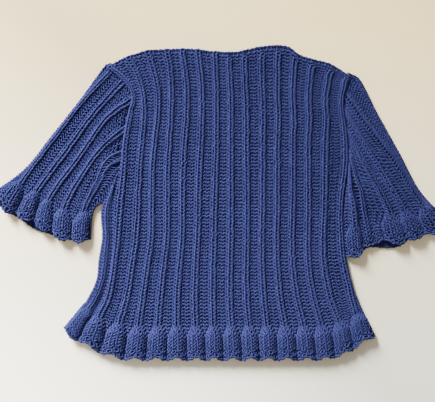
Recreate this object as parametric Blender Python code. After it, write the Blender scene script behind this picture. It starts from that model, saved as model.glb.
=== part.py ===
"""A child's hand-knitted cardigan with short sleeves, laid flat on its fronts, back uppermost.

Sizes are in millimetres and become metres when a wall is made. The origin is under the middle of
the garment: +X is the right of the laid-out back, +Y points from hem to neck and +Z is up. X in
the tables is counted from the back's middle rib.
"""

import math
from collections import namedtuple

import bmesh
import bpy

MM = 0.001  # metres
CENTRE_X = 14.9  # the back's middle rib, from the middle of the whole garment

# The cloth's thicknesses and levels
WALL = 2.1  # fronts and sleeves
BACK_WALL = 2.7
GAP = 0.3  # between layers
SEAM_SHIFT = 0.2  # each piece stands back this far from a seam line
BACK_UNDER = WALL + GAP
TOP = BACK_UNDER + BACK_WALL
FOLD = TOP / 2  # outer radius of a fold
EDGE_DROP = 0.9  # a seamed or bound edge lies this much lower
THIN_EDGE = 1.0  # the back's edge where it rolls down over a side fold

# The rib pattern: one raised knit column in each repeat of four stitches
LAST_RIB = 14
MIDDLE_RIB = 7
RIB_HEIGHT = 1.8
RIB_FOOT = 0.17  # half width of a rib, in repeats
BELL_FOOT = 0.30  # the same in the bells
BELL_SIDE = 0.8  # height of a bell at its foot, as a share of its crown

# The bell edging: each rib flares into a ruffle wave
BELL_RISE = 5.0
FRONT_RISE = 2.6  # the fronts' waves nest under the back's
STRIP_RISE = 3.0
SLEEVE_RISE = 3.0
SCALLOP = 2.5  # a bell's crown stands back from the hem line
BELL_STEPS = 4

# Rib numbers that stand for the back's two edges, and how far in their slopes reach
SEAM_RIB = -0.4
EDGE_RIB = LAST_RIB + 0.5
LEFT_REACH = 2.4
RIGHT_REACH = 3.0
ROLL_RIB = LAST_RIB + 0.42  # where the right edge starts to roll down
ROLL_WAVE = 0.35  # height of the last bell there

# The fronts
CENTRE_GAP = 3.0
NECK_RIBS = 5  # the front neck is this many ribs wide each side of the middle
NECK_DEPTH = 4  # sections below the shoulder
NECK_BLEND = 7  # the section at which the front's rows match the back's again
WRAP_COLUMNS = 12
FADE_WIDTH = 5.0  # a rib this near an edge has its full height

CUFF_SHOW = 8.0  # the under layer's cuff reaches this far past the upper one

# Across the back, from neck to hem: the side seam or armhole, four of the ribs and the right edge
BackRow = namedtuple("BackRow", "y_left seam rib0 rib1 y_mid rib13 rib14 edge y_right hem_part")
BACK = {
    "neck": BackRow(148.8, -137.5, -135.3, -113.9, None, 113.3, 130.9, 133.1, 138.3, 0),
    "shoulder": BackRow(142.2, -129.8, -126.5, -106.2, 149.9, 110.0, 127.6, 129.8, 131.2, 0),
    "yoke": BackRow(131.2, -117.2, -113.9, -100.1, 133.4, 106.7, 124.9, 127.1, 124.6, 0),
    "sleeve cap": BackRow(122.4, -111.1, -108.4, -97.4, 123.5, 105.1, 122.7, 125.1, 116.9, 0),
    "across back": BackRow(113.6, -110.0, -107.3, -96.3, 113.6, 104.5, 122.1, 124.3, 109.2, 0),
    "armhole, upper": BackRow(102.6, -113.3, -110.0, -95.7, 102.6, 105.1, 122.7, 124.3, 100.4, 0),
    "armhole, middle": BackRow(91.6, -116.6, -112.2, -95.7, 91.6, 105.6, 124.1, 125.6, 91.6, 0),
    "armhole, lower": BackRow(69.6, -119.9, -116.1, -97.4, 69.6, 104.0, 126.5, 128.7, 69.6, 0),
    "underarm": BackRow(27.8, -126.0, -118.8, -100.7, 32.2, 103.4, 126.0, 129.8, 38.8, 0),
    "side": BackRow(14.6, -129.0, -120.2, -101.5, 16.8, 103.1, 123.8, 127.1, 23.4, 0),
    "waist": BackRow(-1.9, -131.5, -122.1, -102.3, -1.9, 102.9, 121.6, 124.3, 3.6, 0),
    "below waist": BackRow(-40.4, -131.5, -125.4, -104.5, -40.4, 101.2, 122.1, 124.9, -40.4, 0),
    "hip": BackRow(-62.4, -132.6, -128.2, -107.8, -62.4, 101.8, 124.3, 127.6, -62.4, 0),
    "low hip": BackRow(-84.4, -136.4, -130.9, -111.1, -84.4, 104.5, 129.3, 132.6, -84.4, 0),
    "flare": BackRow(-106.4, -144.1, -135.9, -115.0, -106.4, 109.5, 133.7, 138.6, -103.0, 0),
    "bell top": BackRow(-120.7, -152.4, -144.7, -122.1, -133.9, 118.8, 137.5, 144.7, -116.3, 0),
    "hem": BackRow(-152.1, -167.8, -157.3, -130.9, -173.5, 124.9, 144.1, 157.3, -150.4, 1),
}

# The neck's bound edge and the two shoulders, seen from above
Point = namedtuple("Point", "x y")
NECK_EDGE = [
    Point(-137.5, 148.8),
    Point(-122.1, 157.6),
    Point(-105.6, 164.2),
    Point(-94.6, 167.5),
    Point(-72.6, 169.1),
    Point(-45.1, 169.7),
    Point(-17.6, 166.9),
    Point(4.4, 166.4),
    Point(31.9, 171.9),
    Point(53.9, 173.5),
    Point(64.9, 171.3),
    Point(73.7, 164.2),
    Point(89.1, 158.7),
    Point(106.7, 154.3),
    Point(122.1, 145.5),
    Point(133.1, 138.3),
]

# The left front's side fold, from the section below the underarm to the hem
LEFT_FOLD = {
    "side": Point(-134.8, 14.6),
    "waist": Point(-142.5, -1.9),
    "below waist": Point(-143.0, -40.4),
    "hip": Point(-146.6, -62.4),
    "low hip": Point(-149.1, -84.4),
    "flare": Point(-159.0, -105.9),
    "bell top": Point(-165.0, -112.5),
    "hem": Point(-185.4, -137.2),
}

# A sleeve: its two folds at five stations from armhole to cuff, and its ribs, each from the
# section of the armhole where it starts to the cuff. The last two stations hold its bell.
SleeveRib = namedtuple("SleeveRib", "section upper middle bell_top cuff")
Sleeve = namedtuple("Sleeve", "armhole shift outer_fold ribs inner_fold")
SLEEVES = {
    "left_sleeve": Sleeve(
        armhole=SEAM_RIB,
        shift=-SEAM_SHIFT,
        outer_fold=[
            Point(-143.0, 147.1),
            Point(-168.3, 113.0),
            Point(-199.1, 74.0),
            Point(-227.7, 38.8),
            Point(-262.9, 12.4),
        ],
        ribs=[
            SleeveRib(
                0.6,
                Point(-163.9, 111.4),
                Point(-193.6, 72.9),
                Point(-224.4, 32.2),
                Point(-249.7, -4.1),
            ),
            SleeveRib(
                1.8,
                Point(-152.9, 96.0),
                Point(-181.5, 56.4),
                Point(-212.3, 14.6),
                Point(-229.9, -11.8),
            ),
            SleeveRib(
                4.0,
                Point(-137.5, 92.7),
                Point(-166.1, 52.0),
                Point(-199.1, 5.8),
                Point(-210.1, -24.5),
            ),
            SleeveRib(
                6.5,
                Point(-140.8, 61.9),
                Point(-161.7, 34.4),
                Point(-182.6, -4.1),
                Point(-189.2, -35.5),
            ),
            SleeveRib(
                7.4,
                Point(-136.4, 43.7),
                Point(-146.3, 23.4),
                Point(-161.7, -8.5),
                Point(-167.2, -40.4),
            ),
        ],
        inner_fold=[
            Point(-128.6, 25.6),
            Point(-135.9, 16.8),
            Point(-144.1, 2.5),
            Point(-151.3, -9.6),
            Point(-155.1, -37.1),
        ],
    ),
    "right_sleeve": Sleeve(
        armhole=EDGE_RIB,
        shift=SEAM_SHIFT,
        outer_fold=[
            Point(137.5, 136.0),
            Point(163.9, 96.0),
            Point(185.9, 56.4),
            Point(207.9, 14.6),
            Point(233.2, -11.8),
        ],
        ribs=[
            SleeveRib(
                1.2,
                Point(158.4, 92.7),
                Point(180.4, 53.1),
                Point(201.3, 14.6),
                Point(222.2, -21.7),
            ),
            SleeveRib(
                4.0,
                Point(149.6, 80.6),
                Point(172.7, 54.2),
                Point(199.1, 10.2),
                Point(210.1, -33.8),
            ),
            SleeveRib(
                6.4,
                Point(146.3, 61.9),
                Point(167.2, 28.9),
                Point(184.8, 0.3),
                Point(195.8, -41.5),
            ),
            SleeveRib(
                7.35,
                Point(146.3, 39.3),
                Point(160.6, 17.9),
                Point(172.7, -6.3),
                Point(174.9, -43.7),
            ),
            SleeveRib(
                7.8,
                Point(134.2, 24.5),
                Point(136.4, 3.6),
                Point(136.4, -20.6),
                Point(138.6, -58.0),
            ),
        ],
        inner_fold=[
            Point(132.8, 36.8),
            Point(129.6, 21.2),
            Point(127.1, 0.3),
            Point(127.4, -25.0),
            Point(129.9, -60.2),
        ],
    ),
}
SLEEVE_STATIONS = (0, 0.5, 1, 2, 3)
BELL_STATION = 3
CUFF_STATION = 4
SLEEVE_RIBS = 5
OUTER_RIB = -0.5  # rib numbers that stand for a sleeve's two folds
INNER_RIB = SLEEVE_RIBS - 0.5
FOLD_ANGLES = (-90, -45, 0, 45, 90)
TIGHTEST = 0.1  # least share of a fold's width that is hollow
NO_SHOW = 0.01  # a column this near a fold isn't longer in the under layer
SMOOTH_ANGLE = math.radians(50)

# The strip of the left front that lies on top: columns from its fold to the seam
StripColumn = namedtuple("StripColumn", "share crown wave drop")
STRIP = [
    StripColumn(0.25, 0, BELL_SIDE, 0),
    StripColumn(0.5, 1, 1, 0),
    StripColumn(0.75, 0, BELL_SIDE, 0),
    StripColumn(1, 0, 0, EDGE_DROP),
]


def blend(a, b, share):
    return a + (b - a) * share


def blend_points(a, b, share):
    return Point(blend(a.x, b.x, share), blend(a.y, b.y, share))


def read(knots, place):
    """The value at a place on a line through (place, value) knots."""
    for (low, at_low), (high, at_high) in zip(knots, knots[1:]):
        if place <= high:
            return blend(at_low, at_high, (place - low) / (high - low))
    return knots[-1][1]


def step_towards(start, target, length):
    """The point this far from start on the way to target."""
    return blend_points(start, target, length / math.dist(start, target))


# The ribs and bells


def bell_share(hem_part):
    """How far a rib has opened into its bell, from 0 at the bell's top."""
    return 1 - (1 - hem_part) ** 2


def rib_places(bell):
    """The columns of one repeat, from the foot of a rib to the valley after it, as (place, crown, side)."""
    foot = blend(RIB_FOOT, BELL_FOOT, bell)
    return [(-foot, 0, BELL_SIDE), (0, 1, 1), (foot, 0, BELL_SIDE), (0.5, 0, 0)]


def rib_lift(crown, wave, bell, rise, fade=1.0):
    """The height of the outer face over the plain cloth, and of the wave that both faces follow."""
    swell = rise * wave * bell
    return swell + RIB_HEIGHT * crown * (1 - bell) * fade, swell


# The back's rows


def rows_of(table):
    """The table's rows, with more of them through the bells."""
    rows = list(table.values())
    top, hem = rows[-2:]
    more = []
    for step in range(1, BELL_STEPS):
        share = step / BELL_STEPS
        more.append(type(top)(*(blend(a, b, share) for a, b in zip(top, hem))))
    return rows[:-1] + more + [hem]


BACK_ROWS = rows_of(BACK)
UNDERARM = list(BACK).index("underarm")


def rib_x(row, rib):
    knots = [
        (SEAM_RIB, row.seam),
        (0, row.rib0),
        (1, row.rib1),
        (MIDDLE_RIB, 0.0),
        (LAST_RIB - 1, row.rib13),
        (LAST_RIB, row.rib14),
        (EDGE_RIB, row.edge),
    ]
    return read(knots, rib)


def back_plan(row, rib, wave=0.0):
    """Where a place on a rib lies, seen from above. The sides of a row slope up to its ends."""
    x = rib_x(row, rib)
    if row.y_mid is None:
        return Point(x, read(NECK_EDGE, x))
    left = max(0, 1 - (rib - SEAM_RIB) / LEFT_REACH) ** 2
    right = max(0, 1 - (EDGE_RIB - rib) / RIGHT_REACH) ** 2
    y = row.y_mid + (row.y_left - row.y_mid) * left + (row.y_right - row.y_mid) * right
    return Point(x, y + SCALLOP * wave * row.hem_part**2)


def back_row(number, row):
    """The outer and inner points of the back across one row."""
    bell = bell_share(row.hem_part)
    rolled = number > UNDERARM
    bound = EDGE_DROP if number == 0 else 0
    outer, inner = [], []

    def add(plan, over, under):
        outer.append((plan.x, plan.y, over - bound))
        inner.append((plan.x, plan.y, under))

    seam = back_plan(row, SEAM_RIB)
    add(Point(seam.x + SEAM_SHIFT, seam.y), TOP - EDGE_DROP, BACK_UNDER)
    for rib in range(LAST_RIB + 1):
        fade = 1.0
        if rib == 0:
            fade = min(1.0, (row.rib0 - row.seam) / FADE_WIDTH)
        if rib == LAST_RIB:
            fade = min(1.0, (row.edge - row.rib14) / FADE_WIDTH)
        for place, crown, wave in rib_places(bell):
            if rib + place == EDGE_RIB:
                continue
            lift, swell = rib_lift(crown, wave, bell, BELL_RISE, fade)
            add(back_plan(row, rib + place, wave), TOP + lift, BACK_UNDER + swell)
    swell = BELL_RISE * ROLL_WAVE * bell
    add(back_plan(row, ROLL_RIB), TOP - EDGE_DROP / 2 + swell, BACK_UNDER + swell)
    edge = back_plan(row, EDGE_RIB)
    edge_top = BACK_UNDER + THIN_EDGE if rolled else TOP - EDGE_DROP
    add(Point(edge.x - SEAM_SHIFT, edge.y), edge_top, BACK_UNDER)
    return outer, inner


# The fronts' rows


def front_plan(number, rib, wave=0.0):
    """The fronts lie under the back, but their neck is cut lower."""
    if number >= NECK_BLEND:
        return back_plan(BACK_ROWS[number], rib, wave)
    across = min(1.0, abs(rib - MIDDLE_RIB) / NECK_RIBS)
    top = NECK_DEPTH * math.sqrt(1 - across**2)
    place = blend(top, NECK_BLEND, number / NECK_BLEND)
    above = min(int(place), NECK_BLEND - 1)
    return blend_points(
        back_plan(BACK_ROWS[above], rib),
        back_plan(BACK_ROWS[above + 1], rib),
        place - above,
    )


def front_panel_row(number, side):
    """The points from the centre front to the last rib but one, the same for both fronts."""
    bell = bell_share(BACK_ROWS[number].hem_part)
    outer, inner = [], []
    for half in range(2 * (MIDDLE_RIB - 1) + 1):
        rib = MIDDLE_RIB + side * half / 2
        wave = 1 - half % 2
        plan = front_plan(number, rib, wave)
        swell = FRONT_RISE * wave * bell
        x = plan.x + side * CENTRE_GAP / 2 if half == 0 else plan.x
        outer.append((x, plan.y, swell))
        inner.append((x, plan.y, WALL + swell))
    return outer, inner


def flat_edge(outer, inner, last, columns):
    """Adds even columns from the last rib but one to an armhole or side edge."""
    start = Point(*outer[-1][:2])
    for column in range(1, columns + 1):
        plan = blend_points(start, last, column / columns)
        outer.append((plan.x, plan.y, 0.0))
        inner.append((plan.x, plan.y, WALL))


def right_front_row(number):
    outer, inner = front_panel_row(number, 1)
    row = BACK_ROWS[number]
    bell = bell_share(row.hem_part)
    for rib, wave in ((LAST_RIB - 0.5, 0), (LAST_RIB, 1), (EDGE_RIB, 0)):
        plan = back_plan(row, rib, wave)
        shift = SEAM_SHIFT if rib == EDGE_RIB else 0
        swell = FRONT_RISE * wave * bell
        outer.append((plan.x - shift, plan.y, swell))
        inner.append((plan.x - shift, plan.y, WALL + swell))
    return outer, inner


def fold_over(outer, inner, turn, extreme):
    """Adds a half round fold from the under layer to the upper one, about the line over turn."""
    width = math.dist(turn, extreme)
    for angle in FOLD_ANGLES:
        out, up = math.cos(math.radians(angle)), math.sin(math.radians(angle))
        plan = blend_points(turn, extreme, out)
        outer.append((plan.x, plan.y, FOLD + FOLD * up))
        plan = blend_points(turn, extreme, out * (width - WALL) / width)
        inner.append((plan.x, plan.y, FOLD + (FOLD - WALL) * up))


def left_front_row(number, fold):
    """As the right front, but its side turns over the fold and ends at the seam on top."""
    outer, inner = front_panel_row(number, -1)
    row = BACK_ROWS[number]
    if fold is None:
        seam = back_plan(row, SEAM_RIB)
        flat_edge(outer, inner, Point(seam.x + SEAM_SHIFT, seam.y), WRAP_COLUMNS)
        return outer, inner
    bell = bell_share(row.hem_part)
    rib0 = back_plan(row, 0)
    turn = step_towards(fold, rib0, FOLD)
    under = blend_points(rib0, turn, 0.5)
    for plan, wave in ((back_plan(row, 0.5), 0), (rib0, 1), (under, 0)):
        swell = FRONT_RISE * wave * bell
        outer.append((plan.x, plan.y, swell))
        inner.append((plan.x, plan.y, WALL + swell))
    fold_over(outer, inner, turn, fold)
    seam = back_plan(row, SEAM_RIB)
    seam = Point(seam.x - SEAM_SHIFT, seam.y)
    for column in STRIP:
        plan = blend_points(turn, seam, column.share)
        lift, swell = rib_lift(column.crown, column.wave, bell, STRIP_RISE)
        outer.append((plan.x, plan.y, TOP + lift - column.drop))
        inner.append((plan.x, plan.y, TOP - WALL + swell))
    return outer, inner


def folds():
    """The left fold for each row, or None where the front ends at the armhole."""
    names = list(BACK)
    known = [LEFT_FOLD.get(name) for name in names]
    top, hem = known[-2:]
    more = [blend_points(top, hem, step / BELL_STEPS) for step in range(1, BELL_STEPS)]
    return known[:-1] + more + [hem]


# The sleeves' rings


def sleeve_columns(bell):
    """The upper layer's columns from the outer fold to the inner one, as (rib, crown, side)."""
    columns = [(OUTER_RIB, 0, 0)]
    for rib in range(SLEEVE_RIBS):
        columns += [(rib + place, crown, wave) for place, crown, wave in rib_places(bell)]
    return columns


def armhole_numbers(sleeve):
    """Where each column meets the armhole, in sections of the back, with a column on each section."""
    starts = [(OUTER_RIB, 0)]
    starts += [(number, rib.section) for number, rib in enumerate(sleeve.ribs)]
    starts.append((INNER_RIB, UNDERARM))
    numbers = [read(starts, rib) for rib, _, _ in sleeve_columns(0)]
    for section in range(1, UNDERARM):
        inside = range(1, len(numbers) - 1)
        nearest = min(inside, key=lambda column: abs(numbers[column] - section))
        numbers[nearest] = section
    return numbers


def armhole_point(sleeve, number):
    above = min(int(number), UNDERARM - 1)
    plan = blend_points(
        back_plan(BACK_ROWS[above], sleeve.armhole),
        back_plan(BACK_ROWS[above + 1], sleeve.armhole),
        number - above,
    )
    return Point(plan.x + sleeve.shift, plan.y)


def sleeve_line(sleeve, station, bell):
    """The upper layer's columns at a whole station past the armhole, seen from above."""
    ribs = [rib[station] for rib in sleeve.ribs]
    turns = [
        step_towards(sleeve.outer_fold[station], ribs[0], FOLD),
        step_towards(sleeve.inner_fold[station], ribs[-1], FOLD),
    ]
    places = [OUTER_RIB, *range(SLEEVE_RIBS), INNER_RIB]
    line = [turns[0]] + ribs + [turns[1]]
    plans = []
    for rib, _, _ in sleeve_columns(bell):
        x = read([(place, plan.x) for place, plan in zip(places, line)], rib)
        y = read([(place, plan.y) for place, plan in zip(places, line)], rib)
        plans.append(Point(x, y))
    return plans


def sleeve_ring(sleeve, station, numbers):
    """The outer and inner points round the tube: upper layer, inner fold, under layer, outer fold."""
    hem_part = max(0, station - BELL_STATION)
    bell = bell_share(hem_part)
    above = min(int(station), CUFF_STATION - 1)

    def line_at(number):
        if number == 0:
            return [armhole_point(sleeve, place) for place in numbers]
        return sleeve_line(sleeve, number, bell)

    upper, lower = line_at(above), line_at(above + 1)
    share = station - above
    line = [blend_points(a, b, share) for a, b in zip(upper, lower)]
    outer_fold = blend_points(sleeve.outer_fold[above], sleeve.outer_fold[above + 1], share)
    inner_fold = blend_points(sleeve.inner_fold[above], sleeve.inner_fold[above + 1], share)

    sewn, fade = (EDGE_DROP, 0.0) if station == 0 else (0.0, 1.0)
    outer, inner = [], []
    for plan, (_, crown, wave) in zip(line, sleeve_columns(bell)):
        lift, swell = rib_lift(crown, wave, bell, SLEEVE_RISE, fade)
        outer.append((plan.x, plan.y, TOP + lift - sewn))
        inner.append((plan.x, plan.y, TOP - WALL + swell))

    def fold_round(turn, extreme, angles):
        width = math.dist(turn, extreme)
        for angle in angles:
            out, up = math.cos(math.radians(angle)), math.sin(math.radians(angle))
            plan = blend_points(turn, extreme, out)
            outer.append((plan.x, plan.y, FOLD + (FOLD - sewn * (up > 0)) * up))
            plan = blend_points(turn, extreme, out * max(TIGHTEST, 1 - WALL / width))
            inner.append((plan.x, plan.y, FOLD + (FOLD - WALL) * up))

    fold_round(line[-1], inner_fold, (45, 0, -45))
    under = [column for column, number in enumerate(numbers) if number in range(UNDERARM + 1)]
    for column in reversed(under):
        plan = line[column]
        middle = math.sin(math.pi * column / (len(line) - 1))
        if hem_part and middle > NO_SHOW:
            reach = math.dist(lower[column], upper[column]) + CUFF_SHOW * middle * hem_part
            plan = step_towards(upper[column], lower[column], reach * share)
        outer.append((plan.x, plan.y, 0.0))
        inner.append((plan.x, plan.y, WALL))
    fold_round(line[0], outer_fold, (-45, 0, 45))
    return outer, inner


# Walls


def wall(name, rows, is_tube=False):
    """A closed wall between its outer and inner points, which are given row by row."""
    if is_tube:
        rows = [(outer + outer[:1], inner + inner[:1]) for outer, inner in rows]
    last_row, last_column = len(rows) - 1, len(rows[0][0]) - 1
    mesh = bpy.data.meshes.new(name)
    bm = bmesh.new()
    bmesh.ops.create_grid(bm, x_segments=last_column, y_segments=last_row, size=1)
    made = bmesh.ops.extrude_face_region(bm, geom=bm.faces[:], use_keep_orig=True)
    raised = {item for item in made["geom"] if isinstance(item, bmesh.types.BMVert)}
    place = {}
    for vert in bm.verts:
        column = round((vert.co.x + 1) / 2 * last_column)
        row = round((1 - vert.co.y) / 2 * last_row)
        place[vert] = (row, column)
    if is_tube:
        joined = [
            face
            for face in bm.faces
            if {place[vert][1] for vert in face.verts} in ({0}, {last_column})
        ]
        bmesh.ops.delete(bm, geom=joined, context="FACES")
    for vert in bm.verts:
        row, column = place[vert]
        outer, inner = rows[row]
        x, y, z = (outer if vert in raised else inner)[column]
        vert.co = ((x + CENTRE_X) * MM, y * MM, z * MM)
    if is_tube:
        bmesh.ops.remove_doubles(bm, verts=bm.verts[:], dist=0.001 * MM)
    bmesh.ops.recalc_face_normals(bm, faces=bm.faces[:])
    bmesh.ops.triangulate(bm, faces=bm.faces[:])
    bm.to_mesh(mesh)
    bm.free()
    mesh.shade_smooth()
    mesh.set_sharp_from_angle(angle=SMOOTH_ANGLE)
    mesh.materials.append(yarn(name))
    piece = bpy.data.objects.new(name, mesh)
    bpy.context.scene.collection.objects.link(piece)
    return piece


def yarn(name):
    """Blue wool, matt."""
    material = bpy.data.materials.new(f"{name} wool")
    material.use_nodes = True
    shader = material.node_tree.nodes["Principled BSDF"]
    shader.inputs["Base Color"].default_value = (0.07, 0.10, 0.27, 1.0)
    shader.inputs["Roughness"].default_value = 0.9
    shader.inputs["Metallic"].default_value = 0.0
    return material


def clear_scene():
    for item in list(bpy.data.objects):
        bpy.data.objects.remove(item, do_unlink=True)


def build():
    clear_scene()
    numbered = list(enumerate(BACK_ROWS))
    wall("back", [back_row(number, row) for number, row in numbered])
    wall("left_front", [left_front_row(number, fold) for number, fold in enumerate(folds())])
    wall("right_front", [right_front_row(number) for number, _ in numbered])
    bells = [BELL_STATION + step / BELL_STEPS for step in range(1, BELL_STEPS + 1)]
    for name, sleeve in SLEEVES.items():
        numbers = armhole_numbers(sleeve)
        stations = list(SLEEVE_STATIONS) + bells
        wall(name, [sleeve_ring(sleeve, station, numbers) for station in stations], True)


build()
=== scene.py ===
"""The looks of a child's hand-knitted cardigan, laid flat on its fronts with the back uppermost.

The garment's sizes are in millimetres and become metres when a mesh is made; the table, the lights
and the camera are in metres. X in the tables is counted from the back's middle rib. Places on the
cloth are counted in ribs across it, and in courses, the rows of stitches, up from its hem or cuff.
Each cloth is a function from such places to the middle of the knitting, a thin core follows it, and
the yarn is looped through it stitch by stitch.
"""

import math
from collections import namedtuple
from functools import partial

import bmesh
import bpy
import numpy as np
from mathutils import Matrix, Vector


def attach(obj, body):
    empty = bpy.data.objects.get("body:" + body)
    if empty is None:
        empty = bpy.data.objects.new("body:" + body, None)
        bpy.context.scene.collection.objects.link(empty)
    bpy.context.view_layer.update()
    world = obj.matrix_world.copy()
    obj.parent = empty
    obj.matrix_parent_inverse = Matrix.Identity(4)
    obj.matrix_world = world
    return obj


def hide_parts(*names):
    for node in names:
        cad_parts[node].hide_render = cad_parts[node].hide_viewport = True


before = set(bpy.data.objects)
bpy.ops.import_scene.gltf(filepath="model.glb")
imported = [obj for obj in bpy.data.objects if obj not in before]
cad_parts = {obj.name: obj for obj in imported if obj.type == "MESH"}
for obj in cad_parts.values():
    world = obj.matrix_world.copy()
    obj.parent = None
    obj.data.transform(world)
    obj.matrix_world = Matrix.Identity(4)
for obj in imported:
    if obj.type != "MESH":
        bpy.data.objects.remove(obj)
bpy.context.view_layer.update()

MM = 0.001  # metres
CENTRE_X = 14.9  # the back's middle rib, from the middle of the whole garment
COURSE = 3.74  # from one row of stitches to the next

# Levels of the middle of the knitting
TOP = 5.1  # where the back lies on a front
FOLD = TOP / 2
HALF_KNIT = 1.2
UPPER = TOP - HALF_KNIT
UNDER = HALF_KNIT
FOLD_TURN = FOLD - HALF_KNIT  # radius of the middle of a fold
EDGE_DROP = 0.9  # how far a sewn edge sinks
EDGE_WIDTH = 0.3  # the width of cloth that sinks with it, in ribs
SEAM_FLAT = 0.3  # the share of a rib's height that the side seam takes away
EDGE_DROP_TURN = 0.6  # how much further the back's right edge sinks below the underarm
CORE = 0.5  # thickness of the core that closes the gaps between the loops
CORE_DROP = 1.05  # how far it lies below the middle
CORE_START = 0.1  # courses above the hem
CORE_JOIN = 0.01  # corners closer than this are one

# Ribs: one knit column in each repeat of three stitches
LAST_RIB = 14  # they are numbered from 0 at the left
MIDDLE_RIB = 7
RIB_HEIGHT = 0.75
RIDGE_HALF = 0.19  # half width of a rib's sharp ridge, in ribs
RIDGE_SHARP = 0.75  # its share of the height; the rest is a broad swell
KNIT_HALF = 0.205  # half width of a knit column, in ribs
PURLS = 2
BELL_HALF = 0.46  # half width of a bell's knitting, in ribs
BELL_KNITS = 4
BELL_SIDES = 1.15  # how much closer the stitches look on a bell's steep sides
# Courses above a bell's top from which its rib is one knit column, and down to which it has three
ONE_KNIT = -0.4
THREE_KNITS = -2.2
# Half width of a rib's knitting by courses above a bell's top
OPENING = ([-3.8, -0.6, 0.0, 8.0], [BELL_HALF, 0.2, 0.18, KNIT_HALF])
SLIVER = 0.05  # a gap too narrow for a stitch, in ribs
INSET = 0.02  # how far the stitches stop short of a turned edge, in ribs
FRONT_INSET = 0.1  # and of the right front's outer edge
KNIT, PURL = 1.0, -1.0

# Bells: each rib flares into a ruffle wave
BELL_TOP = 11.0  # courses above the hem
BELL_OPEN = 7.8  # fully open from here down
BELL_SHOULDER = 3.4  # how far its sides open below its middle, in courses
BELL_RISE = 4.5
BELL_ROUND = 2.6  # the higher the squarer its dome
DOME_FULL = 0.72  # the lower the fuller its dome
SCALLOP = 4.2
FRONT_RISE = 2.6  # of the fronts' bells

# Rib numbers that stand for the back's two edges, and how far in their slopes reach
SEAM_RIB = -0.4
EDGE_RIB = LAST_RIB + 0.5
LEFT_REACH = 2.4
RIGHT_REACH = 3.0

# Across the back, from neck to hem: the side seam or armhole, four of the ribs and the right edge
BackRow = namedtuple("BackRow", "y_left seam rib0 rib1 y_mid rib13 rib14 edge y_right")
BACK = {
    "neck": BackRow(148.8, -137.5, -135.3, -113.9, None, 113.3, 130.9, 133.1, 138.3),
    "shoulder": BackRow(142.2, -129.8, -126.5, -106.2, 149.9, 110.0, 127.6, 129.8, 131.2),
    "yoke": BackRow(131.2, -117.2, -113.9, -100.1, 133.4, 106.7, 124.9, 127.1, 124.6),
    "sleeve cap": BackRow(122.4, -111.1, -108.4, -97.4, 123.5, 105.1, 122.7, 125.1, 116.9),
    "across back": BackRow(113.6, -110.0, -107.3, -96.3, 113.6, 104.5, 122.1, 124.3, 109.2),
    "armhole, upper": BackRow(102.6, -113.3, -110.0, -95.7, 102.6, 105.1, 122.7, 124.3, 100.4),
    "armhole, middle": BackRow(91.6, -116.6, -112.2, -95.7, 91.6, 105.6, 124.1, 125.6, 91.6),
    "armhole, lower": BackRow(69.6, -119.9, -116.1, -97.4, 69.6, 104.0, 126.5, 128.7, 69.6),
    "underarm": BackRow(27.8, -126.0, -118.8, -100.7, 32.2, 103.4, 126.0, 129.8, 38.8),
    "side": BackRow(14.6, -129.0, -120.2, -101.5, 16.8, 103.1, 123.8, 127.1, 23.4),
    "waist": BackRow(-1.9, -131.5, -122.1, -102.3, -1.9, 102.9, 121.6, 124.3, 3.6),
    "below waist": BackRow(-40.4, -131.5, -125.4, -104.5, -40.4, 101.2, 122.1, 124.9, -40.4),
    "hip": BackRow(-62.4, -132.6, -128.2, -107.8, -62.4, 101.8, 124.3, 127.6, -62.4),
    "low hip": BackRow(-84.4, -136.4, -130.9, -111.1, -84.4, 104.5, 129.3, 132.6, -84.4),
    "flare": BackRow(-106.4, -144.1, -135.9, -115.0, -106.4, 109.5, 133.7, 138.6, -103.0),
    "bell top": BackRow(-120.7, -152.4, -144.7, -122.1, -133.9, 118.8, 137.5, 144.7, -116.3),
    "hem": BackRow(-152.1, -167.8, -157.3, -130.9, -173.5, 124.9, 144.1, 160.0, -146.5),
}

# How far ribs 2 to 12 lie from even spacing, at six heights
UNEVEN = {
    160.9: [2.5, 5.5, 3.0, 1.6, 1.4, -2.2, -4.4, -3.3, -4.4, -4.4, -3.3],
    113.6: [0.4, -1.5, 0.0, 0.4, 0.2, 0.0, -0.9, 0.4, -0.6, -1.5, -1.3],
    69.6: [-2.6, -2.9, -2.2, -0.4, 0.4, 0.0, -0.2, 0.7, -0.6, -0.7, -1.5],
    -40.4: [-0.9, -0.7, -1.6, -2.0, -1.3, 0.0, 0.7, 0.4, 0.0, -0.4, 0.4],
    -106.4: [-1.6, -1.1, -1.6, -1.1, -0.6, -1.1, -0.6, 0.0, 0.0, 0.5, 0.6],
    -161.4: [3.5, 4.8, 6.0, 6.2, 3.1, 2.2, 1.3, -0.7, -0.5, 0.7, -0.2],
}

Point = namedtuple("Point", "x y")


def points(*pairs):
    return [Point(*pair) for pair in pairs]


# The neck's bound edge and the two shoulders, seen from above
NECK_EDGE = points(
    (-137.5, 148.8), (-122.1, 157.6), (-105.6, 164.2), (-94.6, 167.5),
    (-72.6, 169.1), (-45.1, 169.7), (-17.6, 166.9), (4.4, 166.4),
    (31.9, 171.9), (53.9, 173.5), (64.9, 171.3), (73.7, 164.2),
    (89.1, 158.7), (106.7, 154.3), (122.1, 145.5), (133.1, 138.3),
)

# The left front's side fold, from the underarm to the hem
LEFT_FOLD = {
    "underarm": Point(-128.6, 26.0),
    "side": Point(-134.8, 14.6),
    "waist": Point(-142.5, -1.9),
    "below waist": Point(-143.0, -40.4),
    "hip": Point(-146.6, -62.4),
    "low hip": Point(-149.1, -84.4),
    "flare": Point(-159.0, -105.9),
    "bell top": Point(-165.0, -112.5),
    "hem": Point(-185.4, -137.2),
}

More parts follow.
